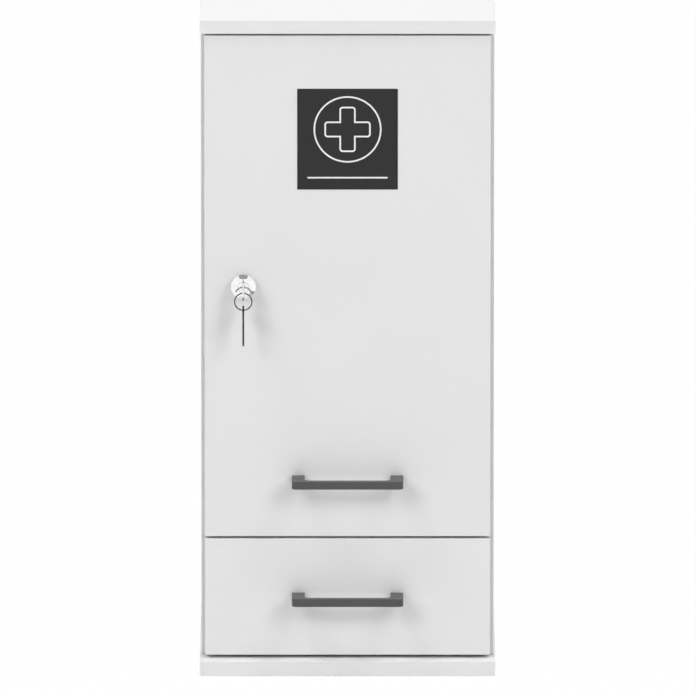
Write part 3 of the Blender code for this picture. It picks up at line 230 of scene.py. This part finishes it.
def spread(tree, value, low=0.0, high=1.0, start=0.3, end=0.7):
    """Map a value's range, from start to end, to another, from low to high."""
    node = tree.nodes.new("ShaderNodeMapRange")
    node.inputs["From Min"].default_value = start
    node.inputs["From Max"].default_value = end
    node.inputs["To Min"].default_value = low
    node.inputs["To Max"].default_value = high
    tree.links.new(value, node.inputs["Value"])
    return node.outputs["Result"]


def calculate(tree, operation, first, second=0.0):
    """The result of one operation on a socket, with a number or another socket beside it."""
    node = tree.nodes.new("ShaderNodeMath")
    node.operation = operation
    tree.links.new(first, node.inputs[0])
    if isinstance(second, float):
        node.inputs[1].default_value = second
    else:
        tree.links.new(second, node.inputs[1])
    return node.outputs[0]


def blend_colours(tree, factor, first, second):
    """A mix of two colours."""
    node = tree.nodes.new("ShaderNodeMix")
    node.data_type = "RGBA"
    node.inputs["A"].default_value = (*first, 1.0)
    node.inputs["B"].default_value = (*second, 1.0)
    tree.links.new(factor, node.inputs["Factor"])
    return node.outputs["Result"]


def shade(colour, factor):
    """A colour made darker or lighter."""
    return tuple(min(1.0, channel * factor) for channel in colour)


def tint(tree, factor, colour, dark, light):
    """A colour that varies between two shades of itself."""
    return blend_colours(tree, factor, shade(colour, dark), shade(colour, light))


def bump(tree, height, distance, strength):
    """A surface normal shaped by heights."""
    node = tree.nodes.new("ShaderNodeBump")
    node.inputs["Strength"].default_value = strength
    node.inputs["Distance"].default_value = distance
    tree.links.new(height, node.inputs["Height"])
    return node.outputs["Normal"]


def seen_rays(tree):
    """1 for the rays of the camera, of gloss and through glass, and 0 for those that light the object."""
    path = tree.nodes.new("ShaderNodeLightPath")
    seen = calculate(tree, "MAXIMUM", path.outputs["Is Camera Ray"], path.outputs["Is Glossy Ray"])
    return calculate(tree, "MAXIMUM", seen, path.outputs["Is Transmission Ray"])


def join_shaders(tree, factor, first, second, output):
    """Send a mix of two shaders to an output node."""
    mix = tree.nodes.new("ShaderNodeMixShader")
    tree.links.new(factor, mix.inputs["Fac"])
    tree.links.new(first, mix.inputs[1])
    tree.links.new(second, mix.inputs[2])
    tree.links.new(mix.outputs["Shader"], output.inputs["Surface"])


# Materials

def melamine(name, colour, roughness, shaded_edges=None):
    """White melamine: a fine pebbled film, and painted shade on its edges as a greyer band.

    The painted shade is on all edges of a front, or ahead of a depth where one is given.
    """
    material, tree, shader = new_material(name, colour, roughness)
    places = coordinates(tree)
    cloud = spread(tree, noise(tree, places, scale=5.0, detail=4.0))
    tone = tint(tree, cloud, colour, dark=0.988, light=1.006)
    # Painted shade: the edges take the greyer tone, for the shade in the gaps and recesses
    if shaded_edges is not None:
        if shaded_edges == "front":
            facing = calculate(tree, "ABSOLUTE", along_axis(tree, "Normal", "Y"))
            edge_shade_mask = calculate(tree, "LESS_THAN", facing, EDGE_NORMAL)
        else:
            edge_shade_mask = calculate(tree, "LESS_THAN", along_axis(tree, "Object", "Y"), shaded_edges)
        film = tone
        tone = blend_colours(tree, edge_shade_mask, colour, EDGE_SHADE)
        tree.links.new(film, tone.node.inputs["A"])
    tree.links.new(tone, shader.inputs["Base Color"])
    sheen = spread(tree, noise(tree, places, scale=60.0), roughness - 0.04, roughness + 0.05)
    tree.links.new(sheen, shader.inputs["Roughness"])
    pebbles = noise(tree, places, scale=1600.0, detail=2.0)
    tree.links.new(bump(tree, pebbles, distance=0.00002, strength=0.5), shader.inputs["Normal"])
    shader.inputs["Specular IOR Level"].default_value = 0.35
    return material


def pressed_board(name, colour):
    """Thin white-faced hardboard: matt, with a faint woven press mark."""
    material, tree, shader = new_material(name, colour, 0.62)
    weave = noise(tree, coordinates(tree, (900.0, 900.0, 300.0)), scale=1.0, detail=2.0)
    cloud = spread(tree, noise(tree, coordinates(tree), scale=9.0, detail=5.0))
    tree.links.new(tint(tree, cloud, colour, dark=0.965, light=1.01), shader.inputs["Base Color"])
    tree.links.new(bump(tree, weave, distance=0.00004, strength=0.6), shader.inputs["Normal"])
    return material


def coated(name, colour):
    """Satin coating on metal, with a fine orange peel and a slight rub."""
    material, tree, shader = new_material(name, colour, 0.40, 0.15)
    places = coordinates(tree)
    rub = spread(tree, noise(tree, places, scale=70.0, detail=5.0), start=0.35, end=0.75)
    tree.links.new(tint(tree, rub, colour, dark=0.94, light=1.06), shader.inputs["Base Color"])
    tree.links.new(spread(tree, rub, 0.36, 0.46, start=0.0, end=1.0), shader.inputs["Roughness"])
    peel = noise(tree, places, scale=2200.0, detail=2.0)
    tree.links.new(bump(tree, peel, distance=0.00003, strength=0.6), shader.inputs["Normal"])
    return material


def plated(name, colour, roughness, brushed=1.0):
    """Plated metal with fine lines along its length and cloudy wear."""
    material, tree, shader = new_material(name, colour, roughness, 1.0)
    lines = noise(tree, coordinates(tree, (1.0, 12.0, 1.0)), scale=700.0, detail=2.0)
    wear = spread(tree, noise(tree, coordinates(tree), scale=160.0, detail=4.0), start=0.35, end=0.7)
    tree.links.new(tint(tree, wear, colour, dark=0.93, light=1.04), shader.inputs["Base Color"])
    tree.links.new(spread(tree, lines, roughness * 0.8, roughness * 1.35), shader.inputs["Roughness"])
    tree.links.new(bump(tree, lines, distance=0.00001 * brushed, strength=0.5), shader.inputs["Normal"])
    return material


def moulded(name, colour, roughness, see_through=0.0):
    """Moulded plastic or soft stop with a faint flow texture."""
    material, tree, shader = new_material(name, colour, roughness)
    places = coordinates(tree)
    flow = spread(tree, noise(tree, places, scale=120.0))
    tree.links.new(tint(tree, flow, colour, dark=0.96, light=1.02), shader.inputs["Base Color"])
    ripples = noise(tree, places, scale=900.0, detail=2.0)
    tree.links.new(bump(tree, ripples, distance=0.00003, strength=0.5), shader.inputs["Normal"])
    shader.inputs["Transmission Weight"].default_value = see_through
    return material


def printed(name, colour, roughness):
    """Ink on a matt film: even, with a slightly grainy sheen."""
    material, tree, shader = new_material(name, colour, roughness)
    shader.inputs["Specular IOR Level"].default_value = 0.25
    grain = spread(tree, noise(tree, coordinates(tree), scale=500.0))
    tree.links.new(tint(tree, grain, colour, dark=0.96, light=1.04), shader.inputs["Base Color"])
    tree.links.new(spread(tree, grain, roughness - 0.05, roughness + 0.05), shader.inputs["Roughness"])
    return material


def make_materials():
    """One finish for each slot of the record."""
    return {
        "front_white": melamine("front_melamine", WHITE_FRONT, 0.46, "front"),
        "board_white": melamine("board_melamine", WHITE_BOARD, 0.50),
        "back_board_white": pressed_board("thin_board", WHITE_THIN_BOARD),
        "handle_grey": coated("handle_coating", HANDLE_GREY),
        "lock_chrome": plated("polished_chrome", CHROME, 0.10, 0.2),
        "key_nickel": plated("key_plating", KEY_NICKEL, 0.20),
        "ring_steel": plated("dark_steel", RING_STEEL, 0.14, 0.3),
        "hinge_nickel": plated("hinge_plating", NICKEL, 0.30),
        "screw_zinc": plated("screw_zinc_plating", ZINC, 0.36),
        "rail_white": coated("rail_coating", RAIL_WHITE),
        "roller_nylon": moulded("roller_plastic", NYLON, 0.42),
        "pin_nickel": plated("pin_plating", ZINC, 0.30),
        "bumper_clear": moulded("clear_stop", CLEAR_STOP, 0.22, 0.4),
    }


def dress_nodes(materials):
    """Give each node of the frame the finish of its slot, and the side panels painted shade on their front
    edges.
    """
    slots = {entry["node"]: entry["material_slot"] for entry in frame["record"]["subparts"]}
    for name, node in NODES.items():
        node.data.materials.clear()
        node.data.materials.append(materials[slots[name]])
    # Painted shade on the front edges of the side panels, in the recess beside the door
    shaded_edges = melamine(
        "side_melamine", WHITE_BOARD, 0.50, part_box("left_side_panel")[0].y + SHADE_BAND_THICK)
    for name in ("left_side_panel", "right_side_panel"):
        NODES[name].data.materials[0] = shaded_edges


# Shapes

def outline_plate(name, outlines, thickness, place):
    """A flat outline with any holes, given thickness about its own plane and made a mesh."""
    curve = bpy.data.curves.new(name, "CURVE")
    curve.dimensions = "2D"
    curve.fill_mode = "BOTH"
    curve.extrude = thickness / 2
    for points in outlines:
        spline = curve.splines.new("POLY")
        spline.points.add(len(points) - 1)
        for point, (across, along) in zip(spline.points, points):
            point.co = (across, along, 0.0, 1.0)
        spline.use_cyclic_u = True
    drawn = bpy.data.objects.new(name + "_outline", curve)
    bpy.context.scene.collection.objects.link(drawn)
    bpy.context.view_layer.update()
    mesh = bpy.data.meshes.new_from_object(drawn.evaluated_get(bpy.context.evaluated_depsgraph_get()))
    bpy.data.objects.remove(drawn, do_unlink=True)
    bpy.data.curves.remove(curve)
    shape = bmesh.new()
    shape.from_mesh(mesh)
    bmesh.ops.remove_doubles(shape, verts=shape.verts, dist=WELD_DISTANCE)
    shape.to_mesh(mesh)
    shape.free()
    mesh.materials.clear()
    piece = bpy.data.objects.new(name, mesh)
    piece.matrix_world = place
    bpy.context.scene.collection.objects.link(piece)
    return piece


def arc(centre, radius, start, end, steps):
    """Points along an arc, from one angle to another."""
    points = []
    for step in range(steps + 1):
        angle = start + (end - start) * step / steps
        points.append((centre[0] + radius * math.cos(angle), centre[1] + radius * math.sin(angle)))
    return points


def circle(centre, radius):
    """Outline of a circle, whose last point stands one step before its first."""
    last = RING_SIDES - 1
    return arc(centre, radius, 0, 2 * math.pi * last / RING_SIDES, last)


def rounded_box(half_width, half_height, radius, centre=(0.0, 0.0)):
    """Outline of a rectangle with round corners."""
    points = []
    corners = ((1, 1, 0), (-1, 1, 1), (-1, -1, 2), (1, -1, 3))
    for side, level, quarter in corners:
        middle = (
            centre[0] + side * (half_width - radius),
            centre[1] + level * (half_height - radius))
        start = quarter * QUARTER_TURN
        points += arc(middle, radius, start, (quarter + 1) * QUARTER_TURN, BOX_CORNER_STEPS)
    return points


def plus_outline(reach, half_width, radius, centre):
    """Outline of a plus sign with round outer corners."""
    points = []
    for quarter in range(4):
        angle = quarter * QUARTER_TURN
        ahead = (math.cos(angle), math.sin(angle))
        left = (-ahead[1], ahead[0])
        for side in (-1, 1):
            along = reach - radius
            across = side * (half_width - radius)
            middle = (
                centre[0] + ahead[0] * along + left[0] * across,
                centre[1] + ahead[1] * along + left[1] * across)
            start = angle - QUARTER_TURN if side < 0 else angle
            points += arc(middle, radius, start, start + QUARTER_TURN, PLUS_CORNER_STEPS)
        points.append((
            centre[0] + ahead[0] * half_width + left[0] * half_width,
            centre[1] + ahead[1] * half_width + left[1] * half_width))
    return points


def on_front(depth):
    """The place of an outline drawn from the front, at a depth and at the sign's height."""
    turn = Matrix(((1, 0, 0, 0), (0, 0, -1, 0), (0, 1, 0, 0), (0, 0, 0, 1)))
    return Matrix.Translation((0.0, depth, SIGN_MIDDLE)) @ turn


# Sign

def make_sign():
    """A dark square film with a generic white plus in a ring, and a plain rule below it."""
    door_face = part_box("door_panel")[0].y
    film_material = printed("sign_dark_film", SIGN_DARK, 0.50)
    print_material = printed("sign_white_print", SIGN_WHITE, 0.55)
    film = outline_plate(
        "door_sign", [rounded_box(SIGN_WIDTH / 2, SIGN_HEIGHT / 2, SIGN_CORNER)], SIGN_THICK,
        on_front(door_face - SIGN_THICK / 2))
    film.data.materials.append(film_material)
    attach(film, "door")
    middle = (0.0, MOTIF_LIFT)
    ring = [circle(middle, MOTIF_RADIUS), circle(middle, MOTIF_RADIUS - MOTIF_STROKE)]
    plus = [
        plus_outline(PLUS_REACH, PLUS_HALF_WIDTH, PLUS_CORNER, middle),
        plus_outline(
            PLUS_REACH - MOTIF_STROKE, PLUS_HALF_WIDTH - MOTIF_STROKE, PLUS_INNER_CORNER, middle)]
    rule = [rounded_box(RULE_HALF_LENGTH, MOTIF_STROKE / 2, RULE_CORNER, (0.0, -RULE_DROP))]
    depth = door_face - SIGN_THICK - PRINT_THICK / 2
    for name, outlines in (("sign_ring", ring), ("sign_plus", plus), ("sign_rule", rule)):
        mark = outline_plate(name, outlines, PRINT_THICK, on_front(depth))
        mark.data.materials.append(print_material)
        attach(mark, "door")


# Small screws and nails

def lathed(points, sides):
    """A closed mesh turned about Z from (radius, height) points."""
    shape = bmesh.new()
    rings = []
    for radius, height in points:
        ring = []
        for side in range(sides):
            angle = 2 * math.pi * side / sides
            ring.append(shape.verts.new((radius * math.cos(angle), radius * math.sin(angle), height)))
        rings.append(ring)
    for low, high in zip(rings, rings[1:]):
        for side in range(sides):
            after = (side + 1) % sides
            shape.faces.new((low[side], low[after], high[after], high[side]))
    shape.faces.new(list(reversed(rings[0])))
    shape.faces.new(rings[-1])
    mesh = bpy.data.meshes.new("head")
    shape.to_mesh(mesh)
    shape.free()
    return mesh


def cross_cutter(radius, height):
    """A cross that narrows towards its foot, to cut the recess of a screw."""
    reach = radius * RECESS_REACH
    half = radius * RECESS_HALF_WIDTH
    outline = []
    for quarter in range(4):
        angle = quarter * QUARTER_TURN
        for across, along in ((-half, reach), (half, reach), (half, half)):
            outline.append((
                along * math.cos(angle) - across * math.sin(angle),
                along * math.sin(angle) + across * math.cos(angle)))
    shape = bmesh.new()
    foot, head = (
        [shape.verts.new((x * size, y * size, height * level)) for x, y in outline]
        for size, level in ((RECESS_FOOT_SIZE, RECESS_FOOT), (RECESS_HEAD_SIZE, RECESS_HEAD)))
    count = len(outline)
    for point in range(count):
        after = (point + 1) % count
        shape.faces.new((foot[point], foot[after], head[after], head[point]))
    shape.faces.new(list(reversed(foot)))
    shape.faces.new(head)
    mesh = bpy.data.meshes.new("cross")
    shape.to_mesh(mesh)
    shape.free()
    return mesh


def head_mesh(size, crossed):
    """A low round head, with a cross recess if it is a screw's."""
    radius, height = size
    mesh = lathed([(radius * out, height * up) for out, up in HEAD_PROFILE], HEAD_SIDES)
    if crossed:
        head = bpy.data.objects.new("head", mesh)
        cutter = bpy.data.objects.new("cutter", cross_cutter(radius, height))
        for item in (head, cutter):
            bpy.context.scene.collection.objects.link(item)
        cut = head.modifiers.new("recess", "BOOLEAN")
        cut.object = cutter
        cut.solver = "EXACT"
        bpy.context.view_layer.update()
        mesh = bpy.data.meshes.new_from_object(head.evaluated_get(bpy.context.evaluated_depsgraph_get()))
        for item in (head, cutter):
            bpy.data.objects.remove(item, do_unlink=True)
    return mesh


def fasten(name, body, size, facing, places, material, crossed=True):
    """Heads of one size at several places, all facing one way and each turned its own amount."""
    mesh = head_mesh(size, crossed)
    mesh.materials.clear()
    mesh.materials.append(material)
    for face in mesh.polygons:
        face.use_smooth = abs(face.normal.z) < FLAT_FACE and not crossed
    turn = Vector(facing).to_track_quat("Z", "Y").to_matrix().to_4x4()
    for index, place in enumerate(places, start=1):
        head = bpy.data.objects.new(f"{name}_{index}", mesh)
        spin = Matrix.Rotation(index * SCREW_TURN, 4, "Z")
        head.matrix_world = Matrix.Translation(place) @ turn @ spin
        bpy.context.scene.collection.objects.link(head)
        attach(head, body)


def fasten_hinge(level, material):
    """The screws of one hinge: its plate, its arm and its cup."""
    plate_low, plate_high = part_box(f"{level}_hinge_plate")
    cup_low, cup_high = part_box(f"{level}_hinge_cup")
    arm_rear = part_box(f"{level}_hinge_arm")[1].y
    middle = (plate_low.z + plate_high.z) / 2
    fasten(
        f"{level}_plate_screw", "carcass", PLATE_SCREW, (-1, 0, 0),
        [(PLATE_WING_FACE, PLATE_WING_DEPTH, middle + side * HINGE_SCREW_REACH) for side in (-1, 1)],
        material)
    fasten(
        f"{level}_arm_screw", "carcass", ARM_SCREW, (-1, 0, 0),
        [(ARM_WEB_FACE, arm_rear - ahead, middle) for ahead in ARM_SCREWS_AHEAD], material)
    fasten(
        f"{level}_cup_screw", "door", CUP_SCREW, (0, 1, 0),
        [((cup_low.x + cup_high.x) / 2, cup_high.y, middle + side * CUP_SCREW_REACH) for side in (-1, 1)],
        material)


def fasten_lock(material):
    """The screws of the lock case on the door and of the strike plate on the side panel."""
    case_low, case_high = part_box("lock_case")
    fasten(
        "case_screw", "door", CASE_SCREW, (0, 1, 0),
        [(x, case_high.y, z)
         for x in (case_low.x + CASE_CORNER, case_high.x - CASE_CORNER)
         for z in (case_low.z + CASE_CORNER, case_high.z - CASE_CORNER)], material)
    strike_low, strike_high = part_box("lock_strike")
    fasten(
        "strike_screw", "carcass", STRIKE_SCREW, (1, 0, 0),
        [(strike_high.x, (strike_low.y + strike_high.y) / 2, z)
         for z in (strike_low.z + STRIKE_END, strike_high.z - STRIKE_END)], material)


def fasten_runner(side, sign, material):
    """The screws of one runner: through the cabinet's rail, and up into the drawer's side."""
    rail_low, rail_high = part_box(f"cabinet_rail_{side}")
    wall = rail_low.x if side == "left" else rail_high.x
    fasten(
        f"{side}_cabinet_rail_screw", "carcass", RAIL_SCREW, (sign, 0, 0),
        [(wall + sign * RAIL_METAL, y, ROLLER_HEIGHT) for y in CABINET_RAIL_SCREWS], material)
    box_low, box_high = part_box(f"drawer_{side}_side")
    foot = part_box(f"drawer_rail_{side}")[0].z
    fasten(
        f"{side}_drawer_rail_screw", "drawer", RAIL_SCREW, (0, 0, -1),
        [((box_low.x + box_high.x) / 2, y, foot) for y in DRAWER_RAIL_SCREWS], material)


def fasten_back(material):
    """The nails of the back panel, along both sides and into the divider."""
    back_low, back_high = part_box("back_panel")
    rows = int((back_high.z - back_low.z) / NAIL_PITCH)
    start = (back_low.z + back_high.z - (rows - 1) * NAIL_PITCH) / 2
    places = [
        (x, back_high.y, start + row * NAIL_PITCH)
        for x in (back_low.x + NAIL_IN_LAP, back_high.x - NAIL_IN_LAP)
        for row in range(rows)]
    divider_low, divider_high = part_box("divider_panel")
    places += [(x, back_high.y, (divider_low.z + divider_high.z) / 2) for x in DIVIDER_NAILS]
    fasten("back_nail", "carcass", BACK_NAIL, (0, 1, 0), places, material, crossed=False)


def make_fasteners(material):
    """The small screws of the hinges, lock, strike and runners, and the nails of the back panel."""
    for level in ("lower", "upper"):
        fasten_hinge(level, material)
    fasten_lock(material)
    for side, sign in (("left", 1), ("right", -1)):
        fasten_runner(side, sign, material)
    fasten_back(material)


# Camera, floor and light

def make_camera():
    """A long lens at the photograph's angle."""
    lens = bpy.data.cameras.new("camera")
    lens.sensor_width = SENSOR
    lens.lens = SENSOR * CAMERA_DISTANCE / VIEW_WIDTH
    lens.clip_start, lens.clip_end = CAMERA_CLIP
    camera = bpy.data.objects.new("camera", lens)
    target = Vector((TARGET_ACROSS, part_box("left_side_panel")[0].y, TARGET_HEIGHT))
    back = Vector((0.0, -math.cos(TILT), math.sin(TILT)))
    camera.location = target + back * CAMERA_DISTANCE
    camera.rotation_euler = (QUARTER_TURN - TILT, 0.0, 0.0)
    bpy.context.scene.collection.objects.link(camera)
    bpy.context.scene.camera = camera


def make_floor():
    """A wide pale floor that camera, metal and glass see as white, with a trace of the object's shadow."""
    bpy.ops.mesh.primitive_circle_add(
        vertices=FLOOR_SIDES, radius=FLOOR_RADIUS, fill_type="NGON", location=(0, 0, -FLOOR_DROP))
    floor = bpy.context.active_object
    floor.name = "floor"
    material, tree, shader = new_material("pale_floor", FLOOR_TONE, FLOOR_ROUGHNESS)
    share = calculate(tree, "MULTIPLY", seen_rays(tree), FLOOR_WHITE_SHARE)
    glow = tree.nodes.new("ShaderNodeEmission")
    glow.inputs["Color"].default_value = (*WHITE, 1.0)
    output = tree.nodes["Material Output"]
    join_shaders(tree, share, shader.outputs["BSDF"], glow.outputs["Emission"], output)
    floor.data.materials.append(material)


def make_world():
    """A faint even light on the object, which camera, metal and glass see as a white room.

    The room has a grey ceiling, for the dark facet of the lock's rosette.
    """
    world = bpy.data.worlds.new("studio")
    bpy.context.scene.world = world
    world.use_nodes = True
    tree = world.node_tree
    soft = tree.nodes["Background"]
    soft.inputs["Color"].default_value = (*WHITE, 1.0)
    soft.inputs["Strength"].default_value = WORLD_LIGHT
    room = tree.nodes.new("ShaderNodeBackground")
    room.inputs["Strength"].default_value = 1.0
    upward = along_axis(tree, "Generated", "Z")
    ceiling = spread(tree, upward, start=CEILING_START, end=CEILING_END)
    tree.links.new(blend_colours(tree, ceiling, WHITE, CEILING_TONE), room.inputs["Color"])
    output = tree.nodes["World Output"]
    join_shaders(tree, seen_rays(tree), soft.outputs["Background"], room.outputs["Background"], output)


def make_lamps():
    """Soft square lamps round the cabinet. Metal and gloss mirror the pale room, not the lamps."""
    middle = Vector((0.0, 0.0, CAD_BOX[1][2] / 2))
    for name, (turn, rise, power) in LAMPS.items():
        turn, rise = math.radians(turn), math.radians(rise)
        way = Vector((math.sin(turn) * math.cos(rise), -math.cos(turn) * math.cos(rise), math.sin(rise)))
        light = bpy.data.lights.new(name, "AREA")
        light.shape = "SQUARE"
        light.size = LAMP_SIZE
        light.energy = power
        lamp = bpy.data.objects.new(name, light)
        lamp.location = middle + way * LAMP_DISTANCE
        lamp.visible_glossy = False
        lamp.rotation_euler = (-way).to_track_quat("-Z", "Y").to_euler()
        bpy.context.scene.collection.objects.link(lamp)


finishes = make_materials()
dress_nodes(finishes)
make_sign()
make_fasteners(finishes["screw_zinc"])
make_camera()
make_floor()
make_world()
make_lamps()
bpy.context.scene.view_settings.view_transform = "Standard"
